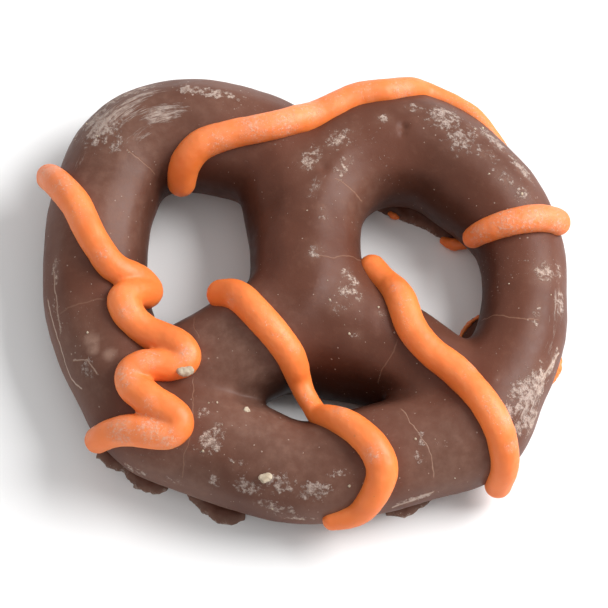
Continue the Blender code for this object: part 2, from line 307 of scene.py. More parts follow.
# Pale scuffs on the icing, as a spot on it, the scuff's reach and how much of it is covered.
SCUFFED = (
    (-28.5, 14.5, 9.4, 2.4, 0.9),
    (-26.6, 11.6, 11.7, 2.4, 0.7),
    (-24.6, 7.6, 12.2, 2.2, 0.4),
    (-22.1, 2.8, 12.4, 1.3, 0.7),
    (-19.4, -4.0, 12.2, 1.3, 0.75),
    (-20.5, -9.1, 10.5, 1.0, 0.6),
    (-19.2, -12.0, 12.6, 2.0, 0.85),
    (-16.8, -9.8, 12.7, 1.8, 0.8),
    (-12.8, -9.2, 12.6, 1.4, 1.0),
    (-16.6, -15.2, 13.1, 1.2, 0.7),
    (-22.4, -15.6, 6.8, 2.4, 0.9),
    (-19.8, -17.7, 11.0, 2.4, 1.0),
    (-16.6, -17.8, 12.2, 2.4, 1.0),
    (-14.6, -19.0, 11.8, 2.0, 0.9),
    (-9.3, 16.3, 12.6, 2.6, 0.7),
    (-5.6, 18.0, 13.2, 2.6, 0.9),
    (-2.2, 18.5, 13.0, 2.6, 0.9),
    (0.5, 21.0, 11.8, 2.4, 0.9),
    (3.6, 22.2, 11.6, 2.2, 0.5),
    (6.8, 23.6, 11.6, 2.2, 0.6),
    (11.0, 23.5, 10.6, 2.4, 0.7),
    (-8.0, -3.1, 12.9, 1.2, 0.7),
    (-1.0, -8.6, 12.6, 1.0, 0.65),
    (4.0, -15.2, 11.1, 1.3, 0.8),
    (7.4, -20.8, 12.4, 1.6, 0.8),
    (10.1, -0.8, 11.3, 1.2, 0.6),
    (11.2, -7.5, 10.7, 1.1, 0.6),
    (18.1, -10.3, 11.5, 1.3, 0.7),
    (21.9, -16.5, 11.5, 1.3, 0.9),
    (22.4, -19.0, 10.2, 1.1, 0.8),
    (19.4, 6.6, 8.9, 2.2, 0.8),
    (22.4, 7.3, 10.7, 2.8, 0.9),
    (25.4, 7.5, 10.7, 2.8, 0.9),
    (28.2, 8.1, 9.2, 2.4, 0.8),
)

# Patches of thin haze, as a spot on the coat, the patch's reach and how hazy its middle is.
HAZY = (
    (-19.5, 19.0, 11.0, 9.0, 1.0),
    (-22.5, 9.0, 10.6, 8.0, 0.9),
    (-10.0, 21.0, 11.5, 8.0, 0.6),
    (-7.5, -6.5, 10.0, 8.0, 1.3),
    (-4.2, -11.6, 8.6, 4.5, 1.7),
    (-5.5, -15.0, 9.8, 8.0, 1.0),
    (-2.0, -20.0, 10.3, 8.0, 0.8),
    (4.0, -24.0, 6.0, 7.0, 1.0),
    (-14.0, -21.0, 6.0, 8.0, 1.0),
    (-26.0, -8.0, 6.0, 9.0, 0.9),
    (3.0, -17.5, 8.0, 5.0, 0.9),
    (11.0, -16.0, 10.3, 6.0, 0.5),
    (6.5, 11.0, 9.0, 5.0, 0.7),
    (15.0, -20.0, 8.0, 7.0, 1.0),
    (-23.2, -6.6, 10.0, 1.2, 3.0),
    (-23.0, -7.6, 10.0, 1.0, 3.0),
    (-21.1, -8.4, 10.4, 1.0, 2.6),
)

# Hairline cracks and scratches in the coat, and a painted highlight along the coat's lower edge, as
# their points, their width and how pale they are.
HAIRLINES = (
    (((-19.5, 16.3, 10.8), (-17.9, 15.2, 10.0), (-16.6, 14.3, 8.5)), 0.1, 0.55),
    (((-12.1, -3.6, 9.3), (-11.5, -6.6, 10.9)), 0.09, 0.4),
    (((-12.0, -11.1, 10.0), (-11.9, -16.6, 10.8), (-12.8, -20.0, 9.2), (-13.3, -21.6, 7.1)), 0.09, 0.5),
    (((-26.8, -2.7, 8.8), (-22.0, -1.8, 10.5)), 0.14, 0.3),
    (((-28.4, -0.4, 7.3), (-27.1, -5.4, 7.3), (-25.5, -9.7, 6.6), (-24.2, -11.3, 7.5)), 0.2, 1.0),
    (((-27.7, 2.6, 8.6), (-27.3, -0.5, 8.6), (-26.7, -4.7, 8.1)), 0.18, 0.8),
    (((-25.2, -8.3, 8.1), (-23.6, -8.6, 9.5), (-22.6, -10.4, 9.7)), 0.15, 0.8),
    (((3.5, 12.3, 11.5), (5.1, 11.7, 10.5), (6.4, 10.8, 8.6)), 0.1, 0.6),
    (((1.5, 2.4, 12.6), (3.5, 2.6, 11.8), (6.5, 4.2, 7.1)), 0.1, 0.45),
    (((19.6, -2.4, 6.4), (23.0, -3.4, 9.0), (25.8, -3.6, 8.8)), 0.1, 0.55),
    (((10.6, -14.6, 9.8), (12.1, -17.4, 10.5), (13.8, -20.0, 9.7), (14.0, -21.8, 7.9)), 0.1, 0.7),
    (((10.1, -7.1, 10.4), (8.0, -10.3, 7.3)), 0.1, 0.35),
    (((28.1, -6.3, 5.9), (27.3, -7.8, 6.6), (26.4, -9.5, 7.1), (26.0, -10.3, 7.2)), 0.3, 1.0),
    # A painted highlight, not a scratch: the pale lip along the coat's lower edge.
    (((9.6, -24.2, 4.6), (10.4, -23.8, 4.9), (12.1, -23.3, 5.3), (14.1, -22.6, 5.8)), 0.3, 0.9),
)

# Loose crumbs on the coat, as x, y, z, radius and how flat they lie.
CRUMBS = (
    (-12.9, -10.9, 11.7, 0.95, 0.6),
    (-4.1, -22.4, 9.5, 0.85, 0.55),
    (-6.2, -14.7, 9.6, 0.42, 0.5),
    (-6.3, -15.4, 9.7, 0.25, 0.5),
)

# A crumb larger than FINE_CRUMB is made of finer faces.
FINE_CRUMB = 0.2

# Grains of sugar and flour: their least and greatest radius, how flat they lie, how far they stray
# from a patch, for one of its half lengths, and where they are dropped from and lie lowest.
GRAINS = 45
GRAIN_SEED = 5
GRAIN_RADII = (0.06, 0.13)
GRAIN_FLATNESS = 0.6
GRAIN_STRAY = 1.6
GRAIN_DROP = 30.0
LOWEST_GRAIN = 5.0

# How round the tubes are, and how finely and softly each kind runs together.
TUBE_ROUNDNESS = 3
TUBE_STEPS = 6
TUBE_WELD = 0.01
ICING_ROUNDNESS = 6
COAT_VOXEL = 0.34
COAT_FILLET = 1.7
FEET_VOXEL = 0.2
FEET_FILLET = 0.2
BITS_VOXEL = 0.14
BITS_FILLET = 0.1
ICING_VOXEL = 0.15
ICING_FILLET = 0.35
ICING_SPREAD = 0.85

# A pit ends at PIT_REACH times its radius.
PIT_REACH = 1.5
PIT_STEEPNESS = 2.5

# Below RIM_HEIGHT a foot turns pale, as painted rim light on its thin edge.
RIM_HEIGHT = 0.6
RIM_LIGHT_FLECKS = 0.75
RIM_LIGHT_HAZE = 2.2

# STRAY_FLECKS lie round each rubbed patch, fewer the farther off. Angles round the rope are measured
# along its girth at ROPE_RADIUS. A streak's grain is long along the rope and fine across it.
STRAY_FLECKS = 0.45
STRAY_FADE = 0.8
ROPE_RADIUS = 6.0
STREAK_GRAIN = (0.28, 1.7, 1.0)

# A hairline wavers by about half of WAVER. Each stretch of it reaches a little beyond its ends.
WAVER = 0.9
STRETCH_REACH = 0.55

# These looks measure where painted shade darkens the coat.
# One point in LOOK_EVERY looks LOOKS ways for more coat, from LOOK_START off the coat to LOOK_REACH.
# Every point then takes the mean of the LOOKS_SHARED that are nearest.
LOOKS = 24
LOOK_SEED = 3
LOOK_EVERY = 12
LOOK_START = 0.3
LOOK_REACH = 20.0
LOOKS_SHARED = 10

# An icing line's points and its tube's rings. The line's middle is lifted off the coat by a part of
# its radius. A line nearer than TOUCHING lies on the coat, and one HANGING off it hangs free.
LINE_STEP = 0.5
RING_STEP = 1.6
LINE_LIFT = 0.35
LINE_SETTLE = 3
TOUCHING = 1.0
HANGING = 1.8

CAMERA_HEIGHT_ANGLE = math.radians(66)
CAMERA_DISTANCE = 0.42
CAMERA_LENS = 223.8
CAMERA_SENSOR = 36.0
CAMERA_AIM = Vector((0.27, -0.24, 5.0)) * MM
NEAREST_SEEN = 0.01

KEY_LAMP_PLACE = (0.44, 0.13, 0.39)
KEY_LAMP_SIZE = 0.35
KEY_LAMP_POWER = 5.0
SKY_STRENGTH = 0.64
FLOOR_SIZE = 3.0
FLOOR_DROP = 0.02 * MM
CUTTER_SIZE = 0.1

# How light bends in fat and sugar, how deep it goes in, and the angle under which faces look smooth.
FAT_IOR = 1.45
LIGHT_DEPTH = 0.8 * MM
SMOOTH_ANGLE = math.radians(50)

# Colours, as red, green and blue.
BROWN = (0.093, 0.033, 0.020)
WARM_BROWN = (0.122, 0.044, 0.027)
WORN_BROWN = (0.16, 0.068, 0.043)
# Haze on the coat, and painted rim light on the feet's thin edges.
HAZE_AND_RIM_LIGHT_BROWN = (0.26, 0.150, 0.112)
# Painted shade: the coat's brown turns towards this where it is closed in.
PAINTED_SHADE_BROWN = (0.030, 0.009, 0.005)
CRACKED_BROWN = (0.34, 0.19, 0.125)
# Pale of strong scratches, and of a painted highlight on the coat's lower edge.
SCRATCH_AND_HIGHLIGHT_PALE = (0.52, 0.40, 0.33)
# These two pale colours are bloom on the coat and painted rim light on the feet's thin edges.
BLOOM_AND_RIM_LIGHT_GREY = (0.42, 0.325, 0.28)
BLOOM_AND_RIM_LIGHT_PALE = (0.51, 0.39, 0.325)
DUST = (0.42, 0.31, 0.25)
ORANGE = (0.79, 0.180, 0.034)
BRIGHT_ORANGE = (0.88, 0.215, 0.045)
# Painted highlight: upward-facing icing is lightened towards this.
HIGHLIGHT_ORANGE = (0.93, 0.31, 0.11)
DULL_ORANGE = (0.78, 0.32, 0.18)
PALE_ORANGE = (0.80, 0.50, 0.37)
BROWN_SPECK = (0.55, 0.17, 0.06)
CRUMB_TAN = (0.36, 0.285, 0.20)
CRUMB_PALE = (0.52, 0.43, 0.32)
FLOOR_GREY = (0.91, 0.91, 0.91)
FLOOR_WHITE = (0.93, 0.93, 0.93)


# Shaping

def select_only(*objs):
    bpy.ops.object.select_all(action="DESELECT")
    for obj in objs:
        obj.select_set(True)
    bpy.context.view_layer.objects.active = objs[0]


def edit_all(obj, operator, **settings):
    """Runs one edit mode operator on the whole mesh."""
    select_only(obj)
    bpy.ops.object.mode_set(mode="EDIT")
    bpy.ops.mesh.select_all(action="SELECT")
    operator(**settings)
    bpy.ops.object.mode_set(mode="OBJECT")


def apply_modifiers(obj):
    select_only(obj)
    for modifier in list(obj.modifiers):
        bpy.ops.object.modifier_apply(modifier=modifier.name)


def place(x, y, z):
    return Vector((x, y, z)) * MM + ROWS_ORIGIN


def tube(name, rows, roundness=TUBE_ROUNDNESS):
    """A closed tube on a smooth curve through rows of x, y, z and radius."""
    bpy.ops.object.select_all(action="DESELECT")
    bpy.ops.curve.primitive_bezier_curve_add()
    curve = bpy.context.object.data
    curve.dimensions = "3D"
    curve.bevel_depth = MM
    curve.bevel_resolution = roundness
    curve.resolution_u = TUBE_STEPS
    curve.use_fill_caps = True
    knots = curve.splines[0].bezier_points
    knots.add(len(rows) - len(knots))
    for knot, (x, y, z, radius) in zip(knots, rows):
        knot.co = place(x, y, z)
        knot.radius = radius
        knot.handle_left_type = "AUTO"
        knot.handle_right_type = "AUTO"
    bpy.ops.object.convert(target="MESH")
    made = bpy.context.object
    made.name = name
    edit_all(made, bpy.ops.mesh.remove_doubles, threshold=TUBE_WELD * MM)
    return made


def ball(x, y, z, radius):
    bpy.ops.object.select_all(action="DESELECT")
    bpy.ops.mesh.primitive_uv_sphere_add(
        segments=24, ring_count=12, radius=radius * MM, location=place(x, y, z)
    )
    return bpy.context.object


def join(name, objs):
    select_only(*objs)
    if len(objs) > 1:
        bpy.ops.object.join()
    made = bpy.context.object
    made.name = name
    made.data.name = name
    bpy.ops.object.transform_apply(location=True, rotation=True, scale=True)
    return made


def melt(obj, voxel, fillet):
    """Runs overlapping tubes into one body and rounds its inner corners by about fillet."""
    remesh = obj.modifiers.new("run_together", "REMESH")
    remesh.mode = "VOXEL"
    remesh.voxel_size = voxel * MM
    smooth = obj.modifiers.new("round_corners", "SMOOTH")
    smooth.factor = 0.5
    smooth.iterations = round(4 * (fillet / voxel) ** 2)
    apply_modifiers(obj)


def unevenness(obj, name, size, depth):
    """Lets the surface rise and fall by about depth over lumps of about size."""
    lumps = bpy.data.textures.new(name, "CLOUDS")
    lumps.noise_scale = size * MM
    lumps.noise_depth = 2
    swell = obj.modifiers.new(name, "DISPLACE")
    swell.texture = lumps
    swell.texture_coords = "LOCAL"
    swell.strength = 2 * depth * MM
    swell.mid_level = 0.5
    apply_modifiers(obj)


def stand_flat(obj):
    """Takes away what is below the floor."""
    bpy.ops.object.select_all(action="DESELECT")
    bpy.ops.mesh.primitive_cube_add(size=CUTTER_SIZE, location=(0, 0, -CUTTER_SIZE / 2))
    block = bpy.context.object
    cut = obj.modifiers.new("stand_flat", "BOOLEAN")
    cut.operation = "DIFFERENCE"
    cut.object = block
    cut.solver = "MANIFOLD"
    apply_modifiers(obj)
    bpy.data.objects.remove(block)


def swollen(rows, by):
    """The same rows, their radii larger by what rounding takes off again."""
    return [(x, y, z, math.hypot(radius, by)) for x, y, z, radius in rows]


def blended(rows, step):
    """Points a step apart on the smooth curve through rows, each a vector of x, y, z and radius."""
    points = [Vector(row) for row in rows]
    points = [2 * points[0] - points[1]] + points + [2 * points[-1] - points[-2]]
    line = []
    for before, start, end, after in zip(points, points[1:], points[2:], points[3:]):
        count = max(1, round((end - start).xyz.length / step))
        for i in range(count):
            t = i / count
            bend = 2 * before - 5 * start + 4 * end - after + (3 * (start - end) + after - before) * t
            line.append(start + 0.5 * t * (end - before + bend * t))
    return line + [points[-2]]


def laid(rows, coat):
    """A line's rows set down on the coat. It sags freely where it is too far off to touch."""
    line = blended(rows, LINE_STEP)
    for i, point in enumerate(line):
        spot, normal, _, gap = coat.find_nearest(place(*point.xyz))
        hold = min(1, max(0, (HANGING - gap / MM) / (HANGING - TOUCHING)))
        rest = (spot - ROWS_ORIGIN) / MM + LINE_LIFT * point.w * normal
        line[i] = point.xyz.lerp(rest, hold).to_4d()
        line[i].w = point.w
    for _ in range(LINE_SETTLE):
        inner = [(a + 2 * b + c) / 4 for a, b, c in zip(line, line[1:], line[2:])]
        line = [line[0]] + inner + [line[-1]]
    rings = round(len(line) * LINE_STEP / RING_STEP)
    return [tuple(line[round(i * (len(line) - 1) / rings)]) for i in range(rings + 1)]


def surface(obj):
    return BVHTree.FromObject(obj, bpy.context.evaluated_depsgraph_get())


# The pieces

def melt_coat():
    tubes = [
        tube("rope", swollen(ROPE, COAT_FILLET)),
        tube("web", swollen(WEB, COAT_FILLET)),
    ]
    coat = join("chocolate_coat", tubes)
    melt(coat, COAT_VOXEL, COAT_FILLET)
    return coat


def press_pits(coat):
    """Dimples the coat where air bubbles broke."""
    for x, y, z, radius, depth in PITS:
        spot, normal, _, _ = surface(coat).find_nearest(place(x, y, z))
        for vert in coat.data.vertices:
            reach = (vert.co - spot).length / (radius * MM)
            if reach < PIT_REACH:
                vert.co -= normal * depth * MM * math.exp(-PIT_STEEPNESS * reach * reach)


def finish_coat(coat):
    unevenness(coat, "coat_lumps", 4.0, 0.09)
    press_pits(coat)
    stand_flat(coat)


def pipe_line(name, rows, coat):
    """One line of icing with round ends, laid on the coat."""
    spots = swollen(laid(rows, coat), ICING_SPREAD)[1:-1]
    parts = [tube(name, spots, ICING_ROUNDNESS), ball(*spots[0]), ball(*spots[-1])]
    line = join("icing_" + name, parts)
    melt(line, ICING_VOXEL, ICING_FILLET)
    unevenness(line, name + "_flow", 2.2, 0.06)
    unevenness(line, name + "_ripple", 0.7, 0.025)
    return line


def break_bits():
    parts = [tube("bit", rows) for rows in ICING_BITS]
    bits = join("icing_bits", parts)
    melt(bits, BITS_VOXEL, BITS_FILLET)
    unevenness(bits, "bits_broken", 0.6, 0.12)
    stand_flat(bits)
    return bits


def spread_feet():
    """Thin ragged feet of coating on the floor."""
    parts = [tube("foot", rows) for rows in FEET]
    feet = join("chocolate_feet", parts)
    melt(feet, FEET_VOXEL, FEET_FILLET)
    unevenness(feet, "feet_ragged", 1.3, 0.22)
    unevenness(feet, "feet_broken", 0.5, 0.08)
    stand_flat(feet)
    return feet


def scatter_crumbs(coat):
    """Loose crumbs, and grains of sugar and flour over the rubbed patches."""
    chance = random.Random(GRAIN_SEED)
    spots = list(CRUMBS)
    while len(spots) < len(CRUMBS) + GRAINS:
        x, y, _, along, _, _ = chance.choice(FLECKED)
        x += chance.uniform(-GRAIN_STRAY, GRAIN_STRAY) * along
        y += chance.uniform(-GRAIN_STRAY, GRAIN_STRAY) * along
        hit = coat.ray_cast(place(x, y, GRAIN_DROP), Vector((0, 0, -1)))[0]
        if hit is None or hit.z < LOWEST_GRAIN * MM:
            continue
        low = (hit - ROWS_ORIGIN) / MM
        spots.append((low.x, low.y, low.z, chance.uniform(*GRAIN_RADII), GRAIN_FLATNESS))
    parts = []
    for x, y, z, radius, flat in spots:
        bpy.ops.object.select_all(action="DESELECT")
        bpy.ops.mesh.primitive_ico_sphere_add(
            subdivisions=4 if radius > FINE_CRUMB else 2,
            radius=radius * MM,
            location=place(x, y, z),
            rotation=(chance.uniform(-0.5, 0.5), chance.uniform(-0.5, 0.5), chance.uniform(0, 6)),
            scale=(1, chance.uniform(0.6, 0.9), flat),
        )
        parts.append(bpy.context.object)
    crumbs = join("crumbs", parts)
    unevenness(crumbs, "crumbs_lumpy", 0.7, 0.2)
    unevenness(crumbs, "crumbs_rough", 0.25, 0.07)
    return crumbs


def store(obj, name, kind, values):
    layer = obj.data.attributes.new(name, kind, "POINT")
    part = "vector" if kind == "FLOAT_VECTOR" else "value"
    layer.data.foreach_set(part, values.astype(np.float32).ravel())


def spots_of(obj):
    """Where an object's points lie, in the rows' millimetres."""
    points = np.empty(len(obj.data.vertices) * 3, dtype=np.float32)
    obj.data.vertices.foreach_get("co", points)
    return (points.reshape(-1, 3) - np.array(ROWS_ORIGIN)) / MM


def mark(obj, name, rows):
    """Stores how strong a mark is at each point, fading from each row's spot to its reach."""
    points = spots_of(obj)
    cover = np.zeros(len(points))
    for x, y, z, reach, strength in rows:
        away = np.linalg.norm(points - (x, y, z), axis=1) / reach
        cover = np.maximum(cover, strength * np.clip(1 - away ** 2, 0, 1))
    store(obj, name, "FLOAT", cover)


def follow_rope():
    """Points on the rope's middle, the way it runs and how far along it is at each, and their tree."""
    line = np.array([point.xyz for point in blended(ROPE, LINE_STEP)])
    steps = np.diff(line, axis=0)
    steps = np.vstack([steps, steps[-1:]])
    lengths = np.linalg.norm(steps, axis=1)
    travelled = np.concatenate([[0], np.cumsum(lengths[:-1])])
    tree = KDTree(len(line))
    for i, point in enumerate(line):
        tree.insert(point, i)
    tree.balance()
    return line, steps / lengths[:, None], travelled, tree


def rub(coat):
    """Stores how flecked and how streaked each point of the coat is, and its place along the rope."""
    points = spots_of(coat)
    count = len(points)
    line, tangents, travelled, tree = follow_rope()
    near = np.array([tree.find(point)[1] for point in points])
    off = points - line[near]
    sides = np.cross(tangents, (0, 0, 1))[near]
    around = np.arctan2((off * sides).sum(axis=1), off[:, 2]) * ROPE_RADIUS
    along = travelled[near] + (off * tangents[near]).sum(axis=1)
    store(coat, "rope_place", "FLOAT_VECTOR", np.stack([along, around, np.zeros(count)], axis=1))
    for name, rows in (("flecks_and_rim_light", FLECKED), ("streaks", STREAKED)):
        cover = np.zeros(count)
        for x, y, z, length, width, strength in rows:
            tangent = tangents[tree.find((x, y, z))[1]]
            apart = points - (x, y, z)
            run = apart @ tangent
            wide = np.linalg.norm(apart - run[:, None] * tangent, axis=1)
            away = (run / length) ** 2 + (wide / width) ** 2
            patch = np.sqrt(np.clip(1 - away, 0, 1))
            strays = STRAY_FLECKS * np.exp(-STRAY_FADE * np.clip(away - 1, 0, None))
            cover = np.maximum(cover, strength * np.maximum(patch, strays))
        store(coat, name, "FLOAT", cover)


def store_closed_in_shade(coat):
    """Stores how closed in each point of the coat is, as in the holes and under the crossing, for the
    painted shade that darkens it there.
    """
    solid = surface(coat)
    chance = random.Random(LOOK_SEED)
    ways = [Vector(chance.gauss(0, 1) for _ in range(3)).normalized() for _ in range(LOOKS)]
    verts = coat.data.vertices
    tree = KDTree(len(verts) // LOOK_EVERY + 1)
    closed = []
    for i, vert in enumerate(list(verts)[::LOOK_EVERY]):
        start = vert.co + vert.normal * LOOK_START * MM
        reach = LOOK_REACH * MM
        met = [solid.ray_cast(start, (way + vert.normal).normalized(), reach)[0] for way in ways]
        closed.append(sum(hit is not None for hit in met) / LOOKS)
        tree.insert(vert.co, i)
    tree.balance()
    shares = [np.mean([closed[i] for _, i, _ in tree.find_n(vert.co, LOOKS_SHARED)]) for vert in verts]
    store(coat, "closed_in_shade", "FLOAT", np.array(shares))


def paint_rim_light(feet):
    """Stores painted rim light: the feet turn pale towards their thin rims."""
    thin = np.clip(1 - spots_of(feet)[:, 2] / RIM_HEIGHT, 0, 1)
    store(feet, "flecks_and_rim_light", "FLOAT", RIM_LIGHT_FLECKS * thin)
    store(feet, "haze_and_rim_light", "FLOAT", RIM_LIGHT_HAZE * thin)


# Finishes

def add(tree, kind, feeds=(), **settings):
    """A node, its settings, and what feeds its inputs: another node's output or a plain value."""
    node = tree.nodes.new(kind)
    for name, value in settings.items():
        setattr(node, name, value)
    for socket, value in dict(feeds).items():
        if isinstance(value, bpy.types.NodeSocket):
            tree.links.new(value, node.inputs[socket])
        else:
            node.inputs[socket].default_value = value
    return node


def maths(tree, operation, *feeds):
    return add(tree, "ShaderNodeMath", enumerate(feeds), operation=operation).outputs[0]


def vector_maths(tree, operation, *feeds):
    node = add(tree, "ShaderNodeVectorMath", enumerate(feeds), operation=operation)
    return node.outputs["Value" if operation in ("LENGTH", "DOT_PRODUCT") else "Vector"]


def ramp(tree, value, low, high, start=0.0, end=1.0):
    """Start below low and end above high, with a soft change between."""
    feeds = {"Value": value, "From Min": low, "From Max": high, "To Min": start, "To Max": end}
    return add(tree, "ShaderNodeMapRange", feeds, interpolation_type="SMOOTHSTEP").outputs["Result"]


def noise(tree, spot, scale, detail=2.0, roughness=0.5):
    feeds = {"Vector": spot, "Scale": scale, "Detail": detail, "Roughness": roughness}
    return add(tree, "ShaderNodeTexNoise", feeds)


def tint(tree, amount, under, over):
    """Under, turned to over by amount. Each is a colour or what a node gives."""
    under, over = ((*side, 1.0) if isinstance(side, tuple) else side for side in (under, over))
    node = add(tree, "ShaderNodeMix", {0: amount, 6: under, 7: over}, data_type="RGBA")
    return node.outputs[2]


def stored(tree, name, output="Fac"):
    """What each point of a piece holds under a name."""
    return add(tree, "ShaderNodeAttribute", attribute_name=name).outputs[output]


def group(name, takes, gives):
    """An empty shader group with named inputs and outputs."""
    tree = bpy.data.node_groups.new(name, "ShaderNodeTree")
    for label, kind in takes.items():
        tree.interface.new_socket(label, in_out="INPUT", socket_type="NodeSocket" + kind)
    for label, kind in gives.items():
        tree.interface.new_socket(label, in_out="OUTPUT", socket_type="NodeSocket" + kind)
    return tree, tree.nodes.new("NodeGroupInput").outputs, tree.nodes.new("NodeGroupOutput").inputs


def flecking_group():
    """Lacy flecks that cover more of the surface as Cover rises from 0 to 1."""
    tree, given, out = group(
        "flecking", {"Place": "Vector", "Scale": "Float", "Cover": "Float"}, {"Mask": "Float"}
    )
    field = noise(tree, given["Place"], given["Scale"], 6, 0.72).outputs["Fac"]
    least = maths(tree, "MULTIPLY_ADD", given["Cover"], -0.40, 0.74)
    most = maths(tree, "ADD", least, 0.14)
    blots = ramp(tree, field, least, most)
    finer = maths(tree, "MULTIPLY", given["Scale"], 2.7)
    lace = noise(tree, given["Place"], finer, 3, 0.6).outputs["Fac"]
    edge = maths(tree, "ABSOLUTE", maths(tree, "SUBTRACT", lace, 0.5))
    tree.links.new(maths(tree, "MULTIPLY", blots, ramp(tree, edge, 0.03, 0.14, 1.0, 0.4)), out["Mask"])
    return tree


def hairline_group():
    """A thin line through Middle, at right angles to Across, as long as twice Reach."""
    tree, given, out = group(
        "hairline",
        {"Place": "Vector", "Middle": "Vector", "Across": "Vector", "Reach": "Float", "Width": "Float"},
        {"Mask": "Float"},
    )
    off = vector_maths(tree, "SUBTRACT", given["Place"], given["Middle"])
    side = maths(tree, "ABSOLUTE", vector_maths(tree, "DOT_PRODUCT", off, given["Across"]))
    line = ramp(tree, maths(tree, "DIVIDE", side, given["Width"]), 0.2, 1.0, 1.0, 0.0)
    far = maths(tree, "DIVIDE", vector_maths(tree, "LENGTH", off), given["Reach"])
    tree.links.new(maths(tree, "MULTIPLY", line, ramp(tree, far, 0.85, 1.05, 1.0, 0.0)), out["Mask"])
    return tree


def grain_group():
    """The fine unevenness of a set surface, in millimetres of height."""
    tree, given, out = group(
        "set_grain", {"Place": "Vector", "Swell": "Float", "Grain": "Float"}, {"Height": "Float"}
    )
    swell = noise(tree, given["Place"], 420, 3, 0.5).outputs["Fac"]
    grain = noise(tree, given["Place"], 3600, 3, 0.6).outputs["Fac"]
    swelling = maths(tree, "MULTIPLY", swell, given["Swell"])
    tree.links.new(maths(tree, "MULTIPLY_ADD", grain, given["Grain"], swelling), out["Height"])
    return tree


def speck_group():
    """A sparse scatter of tiny specks in loose drifts, about a cell apart."""
    tree, given, out = group(
        "specks", {"Place": "Vector", "Scale": "Float", "Share": "Float"}, {"Mask": "Float"}
    )
    cells = add(tree, "ShaderNodeTexVoronoi", {"Vector": given["Place"], "Scale": given["Scale"]})
    pick = add(tree, "ShaderNodeSeparateColor", {"Color": cells.outputs["Color"]})
    size = maths(tree, "MULTIPLY_ADD", maths(tree, "POWER", pick.outputs["Green"], 2.0), 0.10, 0.04)
    shape = noise(tree, given["Place"], 5000, 2).outputs["Fac"]
    distance = maths(tree, "SUBTRACT", cells.outputs["Distance"], 0.08)
    dot = maths(tree, "LESS_THAN", maths(tree, "MULTIPLY_ADD", shape, 0.16, distance), size)
    drift = ramp(tree, noise(tree, given["Place"], 260, 2).outputs["Fac"], 0.4, 0.65, 0.3, 1.6)
    share = maths(tree, "MULTIPLY", drift, given["Share"])
    chosen = maths(tree, "LESS_THAN", pick.outputs["Red"], share)
    tree.links.new(maths(tree, "MULTIPLY", dot, chosen), out["Mask"])
    return tree


def use(tree, made, output, **feeds):
    """Places a group and gives back one of its outputs."""
    return add(tree, "ShaderNodeGroup", feeds, node_tree=made).outputs[output]


def finish(name):
    """A new material, its tree, its Principled shader and the place on the object."""
    made = bpy.data.materials.new(name)
    made.use_nodes = True
    tree = made.node_tree
    shader = tree.nodes["Principled BSDF"]
    return made, tree, shader, add(tree, "ShaderNodeTexCoord").outputs["Object"]


def raise_by(tree, shader, height):
    """Feeds a height in millimetres to the shader's normal."""
    bump = add(tree, "ShaderNodeBump", {"Height": height, "Distance": MM, "Strength": 1.0})
    tree.links.new(bump.outputs["Normal"], shader.inputs["Normal"])


def let_light_in(shader, weight, radius):
    """Sets how much of the light goes in, and how far its red, green and blue spread."""
    shader.inputs["IOR"].default_value = FAT_IOR
    shader.inputs["Subsurface Weight"].default_value = weight
    shader.inputs["Subsurface Radius"].default_value = radius
    shader.inputs["Subsurface Scale"].default_value = LIGHT_DEPTH


def hairlines(tree, spot, coat, line_group):
    """The palest of all the hairlines at each place."""
    shift = vector_maths(tree, "SUBTRACT", noise(tree, spot, 500, 3).outputs["Color"], (0.5, 0.5, 0.5))
    wavering = vector_maths(tree, "MULTIPLY_ADD", shift, (WAVER * MM,) * 3, spot)
    total = 0.0
    for points, width, strength in HAIRLINES:
        for start, end in zip(points, points[1:]):
            start = place(*start)
            end = place(*end)
            middle = (start + end) / 2
            across = (end - start).cross(coat.find_nearest(middle)[1]).normalized()
            line = use(
                tree, line_group, "Mask", Place=wavering, Middle=middle, Across=across,
                Reach=(end - start).length * STRETCH_REACH, Width=width * MM,
            )
            total = maths(tree, "MAXIMUM", maths(tree, "MULTIPLY", line, strength), total)
    return total


def rubbed_bloom_and_rim_light(tree, flecking, spot, flecked_and_rim_lit, broad):
    """Where the coat is rubbed pale: in flecks, in streaks along the rope and in strays, and where the
    feet's thin rims carry painted rim light.
    """
    stretched = vector_maths(tree, "MULTIPLY", stored(tree, "rope_place", "Vector"), STREAK_GRAIN)
    sparse = ramp(tree, broad, 0.4, 0.7, 0.1, 0.36)
    flecks_and_rim_light = use(tree, flecking, "Mask", Place=spot, Scale=1500.0, Cover=flecked_and_rim_lit)
    streaks = use(tree, flecking, "Mask", Place=stretched, Scale=1.0, Cover=stored(tree, "streaks"))
    strays = use(tree, flecking, "Mask", Place=spot, Scale=2600.0, Cover=sparse)
    return maths(tree, "MAXIMUM", maths(tree, "MAXIMUM", flecks_and_rim_light, streaks), strays)


def uneven_brown(tree, flecked_and_rim_lit, broad, fine):
    """The chocolate's brown, hazy where it is dusted and paler on the feet's thin rims as painted rim
    light, and darkened with painted shade where it is closed in.
    """
    base = tint(tree, ramp(tree, broad, 0.35, 0.65), BROWN, WARM_BROWN)
    base = tint(tree, ramp(tree, fine, 0.5, 0.8, 0.0, 0.35), base, WORN_BROWN)
    # Dust haze on the coat, and painted rim light on the feet's thin edges.
    dusted_and_rim_lit = maths(tree, "MAXIMUM", stored(tree, "haze_and_rim_light"), maths(tree, "MULTIPLY", flecked_and_rim_lit, 0.9))
    haze_and_rim_light = maths(tree, "MULTIPLY", dusted_and_rim_lit, ramp(tree, fine, 0.3, 0.7, 0.25, 0.45))
    base = tint(tree, haze_and_rim_light, base, HAZE_AND_RIM_LIGHT_BROWN)
    # Painted shade: the coat turns darker brown where it is closed in.
    return tint(tree, ramp(tree, stored(tree, "closed_in_shade"), 0.12, 0.6, 0.0, 0.85), base, PAINTED_SHADE_BROWN)


